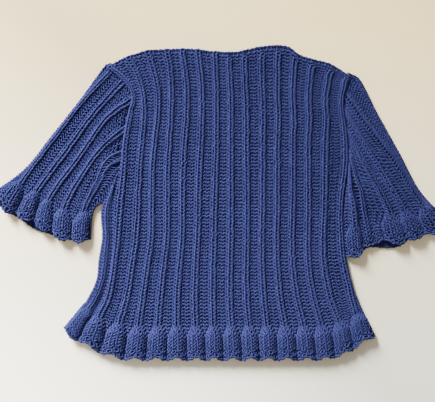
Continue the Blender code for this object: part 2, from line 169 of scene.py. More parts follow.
YOKE_ROW = 62  # from here up the back's rows follow its top edge
TOP_COURSES = np.arange(78, 96, 0.05)  # all that the top edge may cross
NECK_MORE = 0.7  # courses by which the last row may stand above that edge
BUMPY_RIB = 6.6  # right of here its last rows are purled
BUMPY_LAST = 2.5  # courses that these rows take up

# The front neck, cut lower than the back's
NECK_RIBS = 5
NECK_DROP = 11.0  # courses at the middle
CENTRE_GAP = 3.0
FRONT_CORE_SHORT = 0.9  # courses by which a front's core stops below its top

# A sleeve: its two folds at five stations from armhole to cuff, and its ribs, each from the
# section of the armhole where it starts to the cuff. The last two stations hold its bell.
# Purls counts the stitches before, between and after its ribs, and slim is how wide its knit
# columns are against the back's. Crease is the number of the rib that a crease hides. Turned is
# for a tube whose places run the other way round, so that its face is on the other hand.
SleeveRib = namedtuple("SleeveRib", "section upper middle bell_top cuff")
Sleeve = namedtuple(
    "Sleeve", "armhole outer_fold ribs purls crease slim inner_fold rib_height mouth turned"
)
# The cuff's mouth: how far the under layer shows there, in mm, its middle and half width as places
# round the tube, and how far the rest of the under layer stands back
Mouth = namedtuple("Mouth", "show middle half back")
SLEEVES = {
    "left_sleeve": Sleeve(
        armhole="seam",
        outer_fold=points(
            (-143.0, 147.1), (-168.3, 113.0), (-199.1, 74.0), (-227.7, 38.8), (-262.9, 12.4)
        ),
        ribs=[
            SleeveRib(0.6, *points((-163.9, 111.4), (-193.6, 72.9), (-224.4, 32.2), (-250.5, -8.0))),
            SleeveRib(1.8, *points((-152.9, 96.0), (-181.5, 56.4), (-212.3, 14.6), (-229.0, -18.5))),
            SleeveRib(4.0, *points((-137.5, 92.7), (-166.1, 52.0), (-199.1, 5.8), (-208.5, -30.5))),
            SleeveRib(6.5, *points((-140.8, 61.9), (-161.7, 34.4), (-182.6, -4.1), (-187.6, -41.0))),
            SleeveRib(7.4, *points((-136.4, 43.7), (-146.3, 23.4), (-161.7, -8.5), (-166.0, -44.0))),
        ],
        purls=(2, 2, 2, 2, 2, 1),
        crease=None,
        slim=1.0,
        inner_fold=points(
            (-128.6, 25.6), (-131.3, 12.2), (-142.0, 0.3), (-151.3, -9.6), (-154.4, -39.5)
        ),
        rib_height=0.7,
        mouth=Mouth(show=6.0, middle=8.5, half=0.9, back=3.0),
        turned=False,
    ),
    "right_sleeve": Sleeve(
        armhole="edge",
        outer_fold=points(
            (145.2, 132.5), (163.9, 96.0), (185.9, 56.4), (207.9, 14.6), (233.2, -11.8)
        ),
        ribs=[
            SleeveRib(2.6, *points((151.0, 83.0), (172.7, 55.3), (198.0, 17.3), (229.9, -31.6))),
            SleeveRib(4.6, *points((149.6, 59.7), (163.2, 37.7), (187.0, -3.0), (202.4, -40.4))),
            SleeveRib(6.4, *points((149.8, 38.8), (159.5, 21.2), (174.9, -11.3), (185.9, -45.9))),
            SleeveRib(7.35, *points((138.8, 24.5), (143.6, 11.3), (147.4, -11.8), (155.1, -47.0))),
            SleeveRib(7.8, *points((130.9, 16.8), (133.7, 0.3), (135.9, -20.6), (138.6, -60.0))),
        ],
        purls=(3, 2, 2, 3, 1, 1),
        crease=3,
        slim=1.05,
        inner_fold=points(
            (130.8, 36.8), (126.6, 21.2), (124.1, 0.3), (122.0, -25.0), (125.0, -60.2)
        ),
        rib_height=2.6,
        mouth=Mouth(show=8.0, middle=7.5, half=0.9, back=4.0),
        turned=True,
    ),
}
CUFF_STATION = 4
ARMHOLE_END = 8  # its last section, the underarm
UNDER_SEAM = 2.2  # courses by which a sleeve goes on under the body's edge
SLEEVE_RIBS = 5
UPPER_END = 5.0  # places round a sleeve, in ribs: the upper layer, the inner fold,
LOWER_START = 5.5  # the under layer
LOWER_END = 10.5  # and the outer fold
ROUND = 11.0
FOLD_PURLS = 2
CREASE = 1.2  # depth of the crease that hides a rib of the right sleeve and leaves it no bell
CREASE_HALF = 0.17  # in ribs
CREASE_BELL = 0.4  # how far beside it the bells are gone, in ribs
PUCKER = 1.5  # height of the pucker beside it
PUCKER_HALF = 0.5
CUFF_SCALLOP = 5.0  # how far the valleys between its bells stand back
SLEEVE_BELL = 10.0  # courses
SLEEVE_RISE = 4.0
MOUTH_REACH = 8  # courses up to which the cuff's mouth shows
# Stations from its armhole along a sleeve: where the seam's pull ends, and between which its ribs
# and the pucker rise
PULL_END = 0.25
PULL_FLAT = 0.7  # the share of a rib's height that the pull takes away
RIBS_LOW = 0.4  # the share of their height that the ribs start with
RIBS_RISE = (0.1, 1.0)
PUCKER_RISE = (0.2, 1.2)

# The loops of yarn
YARN = 0.82  # radius
WIDE_STITCH = 0.43  # in ribs, the width of a lone knit column
KNIT_FULL = (0.94, 1.55)  # how full the yarn of a knit stitch lies, from half that width to all of it
PURL_FULL = 1.08  # the same for a purl stitch
# How a loop hangs. In stitches: how far its sides swing out, its top leans to the right and its
# sides stand apart. In courses: how high it reaches, and how far its head and foot slant down.
# In mm: where its face and its back lie, and how far its right side stands above its left one.
Hang = namedtuple("Hang", "swing lean spread height slant face_at back_at tilt")
LONE = Hang(0.175, 0.07, 0.01, 0.95, 0.0, 0.65, -0.15, -0.1)
IN_BELL = Hang(0.37, 0.02, 0.0, 0.8, 0.0, 0.6, -0.5, 0.0)
PURLED = Hang(0.06, -0.06, 0.0, 0.75, 0.13, 0.5, -0.5, 0.1)
PINCH = 0.9  # how full the yarn lies where two stitches meet
SLACK = 0.05  # unevenness of the hand, in stitches
STITCH_HEAD = 0.6  # courses that a stitch needs above its row
STEP_ACROSS = 0.02  # short steps along the cloth, in ribs
STEP_UP = 0.1  # and in courses, that give its slope
FIRST_COURSE = 1  # the lowest row of stitches, whose feet reach the hem
BUMPY_ROWS = 3  # rows at hem and cuffs in which knit and purl stitches alternate
CAST_ON = 0.35  # the course of the edge at hem and cuffs
NECK_TRIM = 0.25  # courses by which the neck's bound edge lies below the last row
NECK_SUNK = 0.9  # how far it lies below the middle
EDGE_LOOP = 0.3  # height of the loops of a bound edge, in courses
EDGE_SWING = 0.25  # how far they swing along the edge, in stitches
EDGE_SLACK = 0.03  # their unevenness, in courses
EDGE_LIFT = 0.45
EDGE_FULL = 1.25  # how full their yarn lies
EDGE_PLUMP = 0.08  # by how much that varies round a loop
EDGE_SAMPLES = 6
EDGE_STITCH = 0.24  # in ribs
EDGE_SEED = 5


# Smooth lines through the tables


def smooth(places, values, at):
    """A smooth line through the values at rising places, straight past its ends, read at many places."""
    places = np.asarray(places, float)
    values = np.asarray(values, float)
    slopes = np.gradient(values, places, axis=0)
    left = np.clip(np.searchsorted(places, at, side="right") - 1, 0, len(places) - 2)
    width = places[left + 1] - places[left]
    share = (at - places[left]) / width
    t = np.clip(share, 0, 1)
    if values.ndim == 2:
        points = np.arange(len(left))
        a, b = values[left, points], values[left + 1, points]
        slope_a, slope_b = slopes[left, points], slopes[left + 1, points]
    else:
        a, b = values[left], values[left + 1]
        slope_a, slope_b = slopes[left], slopes[left + 1]
    curve = (
        a * (1 + 2 * t) * (1 - t) ** 2
        + b * t * t * (3 - 2 * t)
        + width * (slope_a * t * (1 - t) ** 2 - slope_b * t * t * (1 - t))
    )
    past = share - t
    return curve + past * width * np.where(past < 0, slope_a, slope_b)


def straight(places, values, at):
    """Straight lines through the values, one column of them for each point."""
    left = np.clip(np.searchsorted(places, at, side="right") - 1, 0, len(places) - 2)
    share = (at - places[left]) / (places[left + 1] - places[left])
    points = np.arange(len(left))
    return values[left, points] * (1 - share) + values[left + 1, points] * share


def ramp(low, high, at):
    """From 0 at low to 1 at high, rounded at both ends."""
    t = np.clip((at - low) / (high - low), 0, 1)
    return t * t * (3 - 2 * t)


# The shape across a rib and down a bell


def off_rib(rib):
    """How far a place lies from the nearest rib."""
    return np.abs(rib - np.round(rib))


def rib_ridge(off):
    """1 on a knit column, falling off at its sides and sloping to 0 half way to the next."""
    broad = 0.5 + 0.5 * np.cos(2 * math.pi * np.clip(off, 0, 0.5))
    return (1 - RIDGE_SHARP) * broad + RIDGE_SHARP * np.exp(-((off / RIDGE_HALF) ** 2))


def bell_open(rib, course, top=BELL_TOP):
    """1 where a bell is fully open, lower down at its sides, so that its shoulders are round."""
    shoulder = BELL_SHOULDER * (2 * off_rib(rib)) ** 2
    return ramp(top - shoulder, top - shoulder - (BELL_TOP - BELL_OPEN), course)


def bell_dome(rib):
    """1 on a bell's middle, falling steeply to 0 in the valleys beside it."""
    return (1 - np.clip(2 * off_rib(rib), 0, 1) ** BELL_ROUND) ** DOME_FULL


# The back


COLUMNS = np.array([SEAM_RIB, *range(LAST_RIB + 1), EDGE_RIB])
HEM_TO_NECK = list(reversed(BACK))
SECTIONS = [BACK[name] for name in HEM_TO_NECK[:-1]]
MIDS = np.array([row.y_mid for row in SECTIONS])
SECTION_COURSES = (MIDS - MIDS[0]) / COURSE


def section_course(name):
    """The course that crosses the back's middle at a section."""
    return float(SECTION_COURSES[HEM_TO_NECK.index(name)])


UNDERARM_COURSE = section_course("underarm")
SIDE_COURSE = section_course("side")


def neck_height(x):
    return smooth([point.x for point in NECK_EDGE], [point.y for point in NECK_EDGE], x)


def pulls(rib):
    """How much a place across the back follows the height of its left and right edges."""
    left = np.clip(1 - (rib - SEAM_RIB) / LEFT_REACH, 0, 1) ** 2
    right = np.clip(1 - (EDGE_RIB - rib) / RIGHT_REACH, 0, 1) ** 2
    return left, right


def between_edges(rib, mid, y_left, y_right):
    """A height at the back's middle, drawn near its edges to theirs."""
    left, right = pulls(rib)
    return mid + (y_left - mid) * left + (y_right - mid) * right


def back_y(rib, course):
    mid = smooth(SECTION_COURSES, MIDS, course)
    y_left = smooth(SECTION_COURSES, [row.y_left for row in SECTIONS], course)
    y_right = smooth(SECTION_COURSES, [row.y_right for row in SECTIONS], course)
    return between_edges(rib, mid, y_left, y_right)


def uneven(rib, y):
    """How far a rib lies from even spacing at a height."""
    heights = sorted(UNEVEN)
    offsets = [UNEVEN[height][rib - 2] for height in heights]
    return float(smooth(heights, offsets, np.clip(y, heights[0], heights[-1])))


def column_lines():
    """Each column's heights and x, from hem to neck."""
    lines = []
    for column in COLUMNS:
        ys, xs = [], []
        for name in HEM_TO_NECK:
            row = BACK[name]
            known = (row.seam, row.rib0, row.rib1, 0.0, row.rib13, row.rib14, row.edge)
            at = (SEAM_RIB, 0, 1, MIDDLE_RIB, LAST_RIB - 1, LAST_RIB, EDGE_RIB)
            x = float(np.interp(column, at, known))
            if row.y_mid is None:
                y = float(neck_height(np.array([x]))[0])
            else:
                y = between_edges(column, row.y_mid, row.y_left, row.y_right)
            if 2 <= column <= LAST_RIB - 2:
                x += uneven(int(column), y)
            ys.append(y)
            xs.append(x)
        lines.append((np.array(ys), np.array(xs)))
    return lines


COLUMN_LINES = column_lines()


def back_x(rib, y):
    xs = np.array([smooth(ys, line, np.minimum(y, ys[-1])) for ys, line in COLUMN_LINES])
    return straight(COLUMNS, xs, rib)


def scallop(rib, course):
    """The hem's crowns stand back from its valleys."""
    crown = 0.5 + 0.5 * np.cos(2 * math.pi * off_rib(rib))
    return SCALLOP * crown**1.5 * np.clip(1 - course / BELL_TOP, 0, 1.2) ** 2


def back_plan(rib, course):
    """A place on the back, seen from above."""
    y = back_y(rib, course)
    x = back_x(rib, y)
    return x, y + scallop(rib, course)


def back_cloth(rib, course):
    """The middle of the back's knitting."""
    x, y = back_plan(rib, course)
    bell = bell_open(rib, course)
    z = UPPER + BELL_RISE * bell * bell_dome(rib)
    z += RIB_HEIGHT * rib_ridge(off_rib(rib)) * (1 - bell)
    seam = np.clip(1 - (rib - SEAM_RIB) / EDGE_WIDTH, 0, 1) ** 2
    z -= (EDGE_DROP + SEAM_FLAT * RIB_HEIGHT * (1 - bell)) * seam
    roll = np.clip((rib - EDGE_RIB + EDGE_WIDTH) / EDGE_WIDTH, 0, 1)
    below = ramp(UNDERARM_COURSE, UNDERARM_COURSE - 3, course)
    z -= (EDGE_DROP + EDGE_DROP_TURN * below) * (1 - np.sqrt(np.clip(1 - roll**2, 0, 1)))
    return np.stack([x, y, z], axis=-1)


def find_back_top():
    """Places across the back, and the course at which each reaches the neck edge."""
    ribs = np.linspace(SEAM_RIB, EDGE_RIB, 150)
    tops = []
    for rib in ribs:
        x, y = back_plan(np.full(len(TOP_COURSES), rib), TOP_COURSES)
        tops.append(TOP_COURSES[np.argmax(y >= neck_height(x))])
    return ribs, np.array(tops)


BACK_TOP = find_back_top()


def back_top(rib):
    return np.interp(rib, *BACK_TOP)


NECK_ROWS = float(BACK_TOP[1].max())


def back_rows(rib, row):
    """The back's knitting by rows, which draw together towards the neck edge and shoulders."""
    share = np.clip((row - YOKE_ROW) / (NECK_ROWS - YOKE_ROW), 0, None)
    return back_cloth(rib, row + (back_top(rib) - NECK_ROWS) * share**1.5)


def to_the_neck(rib):
    return np.full(len(rib), NECK_ROWS + NECK_MORE)


# The fronts, whose outer face is underneath


def front_top(rib):
    """The course at which a front ends: at the shoulder, or lower along the front neck."""
    across = np.clip(np.abs(rib - MIDDLE_RIB) / NECK_RIBS, 0, 1)
    return back_top(rib) - 1 - NECK_DROP * np.sqrt(1 - across**2)


def front_cloth(side):
    def cloth(rib, course):
        """The middle of a front's knitting, with the edge at the centre opening drawn in."""
        x, y = back_plan(rib, course)
        middle = np.clip(1 - np.abs(rib - MIDDLE_RIB), 0, 1)
        x = x + side * CENTRE_GAP / 2 * middle
        z = UNDER + FRONT_RISE * bell_open(rib, course) * bell_dome(rib)
        return np.stack([x, y, z], axis=-1)

    return cloth


# The left front's side, which turns over the fold and ends on top, at the seam


LEFT_SIDE = -1.0  # places across it: the fold starts here, as rib numbers that go on falling
LEFT_TURNED = -1.5  # the top starts here
LEFT_END = -2.2
STRIP_ROUND = 1.6  # courses by which the corner of its bell is rounded off
SIDE_MORE = 2.2  # courses by which the fold goes on above the side section
STRIP_BULGE = 2.0  # courses by which the end of its bell bulges
STRIP_RISE = 3.4  # of that bell
STRIP_SHARP = 0.8  # the share of its rib's height that is a sharp ridge
STRIP_RIDGE = 0.22  # half width of that ridge, as a share of the strip
STRIP_OPENING = ([-2.2, 0.2], [0.3, 0.16])  # as OPENING, for its one rib
TURN_MOST = 0.45  # the share of the way to the seam that the fold's turn may take
SEAM_TUCK = 0.2  # how far it runs in under the back's seam


def left_fold(course):
    """Where the side's fold lies at a course."""
    names = [name for name in HEM_TO_NECK if name in LEFT_FOLD]
    at = [section_course(name) for name in names]
    x = smooth(at, [LEFT_FOLD[name].x for name in names], course)
    return x, smooth(at, [LEFT_FOLD[name].y for name in names], course)


def left_side_cloth(rib, course):
    """The middle of its knitting: under the back, round the fold, and back over it to the seam."""
    fold_x, fold_y = left_fold(course)
    share = (LEFT_TURNED - rib) / (LEFT_TURNED - LEFT_END)
    strip = np.clip(share, 0, 1)
    beside = np.where(rib > LEFT_TURNED, np.clip(rib / LEFT_SIDE, 0, 1), 1 - np.clip(2 * strip, 0, 1))
    rounding = STRIP_ROUND * beside**2 - STRIP_BULGE * np.sin(math.pi * strip**0.6)
    course = course + rounding * np.clip(1 - course / BELL_TOP, 0, 1) ** 2
    zero = np.zeros(len(rib))
    rib0_x, rib0_y = back_plan(zero, course)
    seam_x, seam_y = back_plan(zero + SEAM_RIB, course)
    reach = np.hypot(seam_x - fold_x, seam_y - fold_y)
    turn_share = np.minimum(FOLD / reach, TURN_MOST)
    turn_x = fold_x + (seam_x - fold_x) * turn_share
    turn_y = fold_y + (seam_y - fold_y) * turn_share

    below = np.clip(rib / LEFT_SIDE, 0, 1)
    x = rib0_x + (turn_x - rib0_x) * below
    y = rib0_y + (turn_y - rib0_y) * below
    bell = bell_open(zero, course)
    z = UNDER + FRONT_RISE * bell * bell_dome(np.clip(rib, LEFT_SIDE, 0) * 0.5)

    turning = (rib < LEFT_SIDE) & (rib > LEFT_TURNED)
    angle = math.pi * (np.clip((LEFT_SIDE - rib) / (LEFT_SIDE - LEFT_TURNED), 0, 1) - 0.5)
    out = np.cos(angle) * (FOLD_TURN / FOLD)
    x = np.where(turning, turn_x + (fold_x - turn_x) * out, x)
    y = np.where(turning, turn_y + (fold_y - turn_y) * out, y)
    z = np.where(turning, FOLD + FOLD_TURN * np.sin(angle), z)

    over = rib <= LEFT_TURNED
    x = np.where(over, turn_x + (seam_x - SEAM_TUCK - turn_x) * share, x)
    y = np.where(over, turn_y + (seam_y - turn_y) * share, y)
    hump = np.sin(math.pi * strip)
    ridge = STRIP_SHARP * np.exp(-(((share - 0.5) / STRIP_RIDGE) ** 2)) + (1 - STRIP_SHARP) * hump
    rise = RIB_HEIGHT * (1 - bell) * ridge + STRIP_RISE * bell * np.sqrt(hump)
    rise -= EDGE_DROP * np.clip(4 * share - 3, 0, 1) ** 2
    z = np.where(over, UPPER + rise, z)
    return np.stack([x, y, z], axis=-1)


# The sleeves


def armhole_line(edge):
    """The armhole's x and y at each section, from the tip of the shoulder, 0, to the underarm."""
    rows = list(BACK.values())[: ARMHOLE_END + 1]
    y = [row.y_left if edge == "seam" else row.y_right for row in rows]
    return [getattr(row, edge) for row in rows], y


def toward(start, target, length):
    """The point at a length from start on the way to target."""
    share = length / math.dist(start, target)
    return Point(start.x + (target.x - start.x) * share, start.y + (target.y - start.y) * share)


SLEEVE_PLACES = np.array([0, 0.5, 1.5, 2.5, 3.5, 4.5, UPPER_END])


def sleeve_lines(sleeve):
    """Lines from armhole to cuff: the outer turn, the ribs and the inner turn, then the two folds."""
    xs, ys = armhole_line(sleeve.armhole)

    def start(section):
        sections = range(len(xs))
        return Point(float(np.interp(section, sections, xs)), float(np.interp(section, sections, ys)))

    outer, inner = [start(0)], [start(ARMHOLE_END)]
    for station in range(1, CUFF_STATION + 1):
        outer.append(toward(sleeve.outer_fold[station], sleeve.ribs[0][station], FOLD))
        inner.append(toward(sleeve.inner_fold[station], sleeve.ribs[-1][station], FOLD))
    ribs = [[start(rib.section), *rib[1:]] for rib in sleeve.ribs]
    return [outer, *ribs, inner], [sleeve.outer_fold, sleeve.inner_fold]


def along(line, station):
    """Where a sleeve's line lies at a station."""
    stations = range(len(line))
    x = smooth(stations, [point.x for point in line], station)
    return x, smooth(stations, [point.y for point in line], station)


def course_stations(line):
    """The station at which each course of a line lies, counted from the cuff."""
    stations = np.linspace(CUFF_STATION + 1, -2, 400)
    x, y = along(line, stations)
    steps = np.hypot(np.diff(x), np.diff(y))
    lengths = np.concatenate([[0], np.cumsum(steps)])
    lengths -= np.interp(-CUFF_STATION, -stations, lengths)
    return lengths / COURSE, stations


def upper_place(place):
    """The place on the upper layer that lies over a place round the tube."""
    return np.clip(np.where(place <= UPPER_END, place, LOWER_START + UPPER_END - place), 0, UPPER_END)


def cuff_course(sleeve, place, course):
    """A course with the cuff's scallops in it, and with the under layer that shows at its mouth."""
    mouth = sleeve.mouth
    show = mouth.show * np.exp(-(((place - mouth.middle) / mouth.half) ** 2)) - mouth.back
    show *= np.clip(np.minimum(place - LOWER_START, LOWER_END - place) / 0.5, 0, 1)
    show *= np.clip(1 - course / MOUTH_REACH, 0, 1.2)
    valley = 0.5 - 0.5 * np.cos(2 * math.pi * (place - 0.5))
    notch = CUFF_SCALLOP * valley**2 * np.clip(1 - course / SLEEVE_BELL, 0, 1) ** 2
    notch *= np.clip(np.minimum(place, UPPER_END - place) / 0.5, 0, 1)
    under = (place > UPPER_END) & (place < LOWER_END)
    return course + np.where(under, -show, notch) / COURSE


def upper_level(sleeve, upper, station, course):
    """The level of the upper layer, with its ribs and bells, its crease and the pucker beside it."""
    rib = upper - 0.5
    bell = bell_open(rib, course, SLEEVE_BELL)
    pucker = np.zeros(len(rib))
    if sleeve.crease is not None:
        beside = rib - sleeve.crease
        bell = bell * (1 - np.exp(-((beside / CREASE_BELL) ** 4)))
        pucker = PUCKER * np.exp(-(((beside - 1) / PUCKER_HALF) ** 2)) * (1 - bell)
        pucker -= CREASE * np.exp(-((beside / CREASE_HALF) ** 2))
    edge = np.clip(np.minimum(upper, UPPER_END - upper) / 0.5, 0, 1) ** 0.5
    sewn = ramp(PULL_END, 0.0, station)
    height = sleeve.rib_height * (RIBS_LOW + (1 - RIBS_LOW) * ramp(*RIBS_RISE, station))
    height *= 1 - PULL_FLAT * sewn
    purls = np.array([*sleeve.purls[:-1], PURLS])
    wide = purls[np.clip(upper + 0.5, 0, SLEEVE_RIBS).astype(int)] / PURLS
    z = UPPER + height * rib_ridge(off_rib(rib) * wide) * (1 - bell) * edge
    z += SLEEVE_RISE * bell * bell_dome(rib) + pucker * ramp(*PUCKER_RISE, station) * edge
    return z - EDGE_DROP * sewn


def sleeve_cloth(sleeve):
    """A sleeve's cloth, and the function that gives its last course."""
    lines, folds = sleeve_lines(sleeve)
    tables = [course_stations(line) for line in lines]
    starts = [line[0] for line in lines]
    armhole = COLUMN_LINES[0 if sleeve.armhole == "seam" else -1]

    def cloth(place, course):
        """The middle of the knitting, at a place round the tube."""
        place = np.mod(place, ROUND)
        upper = upper_place(place)
        here = cuff_course(sleeve, place, course)
        station = smooth(SLEEVE_PLACES, np.array([np.interp(here, *table) for table in tables]), upper)
        plans = [along(line, station) for line in lines]
        x = smooth(SLEEVE_PLACES, np.array([plan[0] for plan in plans]), upper)
        y = smooth(SLEEVE_PLACES, np.array([plan[1] for plan in plans]), upper)
        start_x = smooth(SLEEVE_PLACES, [start.x for start in starts], upper)
        start_y = smooth(SLEEVE_PLACES, [start.y for start in starts], upper)
        x = x + (smooth(*armhole, start_y) - start_x) * np.clip(1 - station, 0, 1) ** 2
        under = (place > UPPER_END) & (place < LOWER_END)
        z = np.where(under, UNDER, upper_level(sleeve, upper, station, course))
        for first, fold, turn in ((UPPER_END, folds[1], plans[-1]), (LOWER_END, folds[0], plans[0])):
            share = (place - first) / (LOWER_START - UPPER_END)
            turning = (share > 0) & (share < 1)
            angle = math.pi * (0.5 - share) * (1 if first == UPPER_END else -1)
            fold_x, fold_y = along(fold, station)
            reach = np.hypot(fold_x - turn[0], fold_y - turn[1])
            out = np.cos(angle) * (1 - HALF_KNIT / reach)
            x = np.where(turning, turn[0] + (fold_x - turn[0]) * out, x)
            y = np.where(turning, turn[1] + (fold_y - turn[1]) * out, y)
            z = np.where(turning, FOLD + FOLD_TURN * np.sin(angle), z)
        return np.stack([x, y, z], axis=-1)

    def top(place):
        """The course at which a place round the tube ends, under the body's edge."""
        at = [float(np.interp(0, table[1][::-1], table[0][::-1])) for table in tables]
        return smooth(SLEEVE_PLACES, at, upper_place(place)) + UNDER_SEAM

    return cloth, top


# The stitches of a course


def fill(start, end, count, face):
    """Stitches of one kind and width from start to end."""
    edges = np.linspace(start, end, count + 1)
    return [(a, b, face) for a, b in zip(edges, edges[1:])]


def bell_fill(start, end, count, face):
    """As fill, but closer towards the sides of a bell, which fall away."""
    turn = np.sin(np.linspace(-BELL_SIDES, BELL_SIDES, count + 1)) / math.sin(BELL_SIDES)
    edges = (start + end) / 2 + (end - start) / 2 * turn
    return [(a, b, face) for a, b in zip(edges, edges[1:])]


def ribbed(low, high, centres, course, bell_top=BELL_TOP, purls_between=None, crease=None, slim=1.0):
    """The stitches of one course from low to high, with a knit column or bell at each centre."""
    between = purls_between or [PURLS] * (len(centres) + 1)
    purl_width = (1 - 2 * KNIT_HALF) / PURLS
    stitches = []
    at = low
    for number, centre in enumerate(centres):
        above = course - bell_top if number != crease else 1
        before, after = between[number], between[number + 1]
        left = right = float(np.interp(above, *OPENING))
        knits = 3 if above > THREE_KNITS else BELL_KNITS + max(0, (before + after - 2 * PURLS) // 2)
        if above > ONE_KNIT:
            knits = 1
            left *= min(1, PURLS / before) * slim
            right *= min(1, PURLS / after) * slim
        gap = centre - left - at
        if gap > SLIVER:
            count = before if number or purls_between else max(1, round(gap / purl_width))
            if above <= THREE_KNITS and number - 1 != crease:
                count = 1
            stitches += fill(at, centre - left, count, PURL)
            at = centre - left
        end = min(centre + right, high)
        stitches += bell_fill(at, end, knits, KNIT)
        at = end
    if high - at > SLIVER:
        stitches += fill(at, high, max(1, round((high - at) / purl_width)), PURL)
    if course < FIRST_COURSE + BUMPY_ROWS:
        odd = round(course) % 2
        stitches = [(a, b, PURL if n % 2 == odd else KNIT) for n, (a, b, _) in enumerate(stitches)]
    return stitches


def loop_path(stitches, course, samples, closed, turned, hand):
    """The yarn through a row of stitches: places across, courses up, and lift out of the cloth."""
    starts, ends, faces = (np.array(part, float)[:, None] for part in zip(*stitches))
    turn = np.arange(samples)[None, :] / samples
    phase = 2 * math.pi * turn
    width = ends - starts
    lone = np.clip(2 * width / WIDE_STITCH - 1, 0, 1)
    swing, lean, spread, height, slant, face_at, back_at, tilt = (
        np.where(faces == KNIT, in_bell + (alone - in_bell) * lone, purled)
        for in_bell, alone, purled in zip(IN_BELL, LONE, PURLED)
    )
    if turned:
        lean, slant, tilt = -lean, -slant, -tilt
    shift = hand.normal(0, SLACK, starts.shape)
    loop = turn + swing * np.sin(2 * phase) - lean * np.cos(phase) - spread * np.sin(phase)
    loop += shift * np.sin(phase / 2) ** 2
    across = starts + width * loop
    height = height * (1 + hand.normal(0, SLACK, starts.shape))
    up = course - height * np.cos(phase) - slant * np.sin(2 * phase)
    before = np.roll(faces, 1, axis=0)
    if not closed:
        before[0] = faces[0]
    face = np.where(turn == 0, (faces + before) / 2, faces)
    lift = (face_at + back_at) / 2 - (face_at - back_at) / 2 * face * np.cos(2 * phase)
    lift -= tilt * np.sin(phase)
    knit_full = np.interp(width, [WIDE_STITCH / 2, WIDE_STITCH], KNIT_FULL)
    thick = np.where(faces == KNIT, knit_full, PURL_FULL) * np.where(turn == 0, PINCH, 1.0)
    return across.ravel(), up.ravel(), lift.ravel(), thick.ravel()


def lay(knitting, across, up, lift):
    """Points on the cloth, raised out of it."""
    cloth = knitting.cloth
    middle = cloth(across, up)
    right = cloth(across + STEP_ACROSS, up) - middle
    ahead = cloth(across, up + STEP_UP) - middle
    out = np.cross(right, ahead)
    out /= np.linalg.norm(out, axis=1)[:, None]
    if knitting.turned:
        out = -out
    return middle + out * lift[:, None]


def runs(keep, closed):
    """Stretches of stitches that are kept, as (first, last) numbers."""
    if closed and all(keep):
        return [(0, len(keep))]
    found, first = [], None
    for number, kept in enumerate([*keep, False]):
        if kept and first is None:
            first = number
        if not kept and first is not None:
            found.append((first, number))
            first = None
    return found


# Knitting: its cloth, the stitches of a course, the course at which a place across it ends,
# whether its face is turned down or to the other hand, and whether it is a closed tube
Knitting = namedtuple("Knitting", "cloth row top turned closed")


def knit(name, knitting, courses, samples, seed):
    """A part of a piece of knitting: one length of yarn for each course."""
    hand = np.random.default_rng(seed)
    data = bpy.data.curves.new(name, "CURVE")
    data.dimensions = "3D"
    data.bevel_depth = YARN * MM
    data.bevel_resolution = 0
    data.use_fill_caps = True
    for course in courses:
        stitches = knitting.row(course)
        middles = np.array([(start + end) / 2 for start, end, _ in stitches])
        keep = course + STITCH_HEAD < knitting.top(middles)
        for first, last in runs(keep, knitting.closed):
            part = stitches[first:last]
            closed = knitting.closed and len(part) == len(stitches)
            if len(part) < 2:
                continue
            across, up, lift, thick = loop_path(part, course, samples, closed, knitting.turned, hand)
            add_length(data, lay(knitting, across, up, lift), thick, closed)
    return data


def add_length(data, points, thick, closed):
    """A length of yarn through points, kept above the surface it lies on."""
    points[:, 0] += CENTRE_X
    points[:, 2] = np.maximum(points[:, 2], YARN * thick)
    spline = data.splines.new("POLY")
    spline.points.add(len(points) - 1)
    flat = np.ones((len(points), 4))
    flat[:, :3] = points * MM
    spline.points.foreach_set("co", flat.ravel())
    spline.points.foreach_set("radius", thick)
    spline.use_cyclic_u = closed


def bind(data, knitting, places, course, sunk=0.0):
    """An edge of the knitting, cast on or bound off: a row of short slanting loops."""
    hand = np.random.default_rng(EDGE_SEED)
    phase = 2 * math.pi * np.arange(len(places)) / EDGE_SAMPLES
    up = course + EDGE_LOOP * np.cos(phase) + hand.normal(0, EDGE_SLACK, len(places))
    across = places + EDGE_SWING * (places[1] - places[0]) * EDGE_SAMPLES * np.sin(phase)
    points = lay(knitting, across, up, EDGE_LIFT * np.sin(phase) - sunk)
    thick = np.full(len(points), EDGE_FULL) * (1 + EDGE_PLUMP * np.cos(phase))
    add_length(data, points, thick, knitting.closed)


# Meshes


def yarn_piece(name, data, material):
    """The lengths of yarn as one mesh."""
    holder = bpy.data.objects.new(name, data)
    bpy.context.scene.collection.objects.link(holder)
    bpy.context.view_layer.update()
    mesh = bpy.data.meshes.new_from_object(holder)
    bpy.data.objects.remove(holder, do_unlink=True)
    mesh.name = name
    mesh.materials.clear()
    mesh.materials.append(material)
    mesh.shade_smooth()
    return place_piece(name, mesh)


def place_piece(name, mesh):
    """The mesh as a piece of the garment, which has no moving parts."""
    piece = bpy.data.objects.new(name, mesh)
    bpy.context.scene.collection.objects.link(piece)
    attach(piece, "root")
    return piece


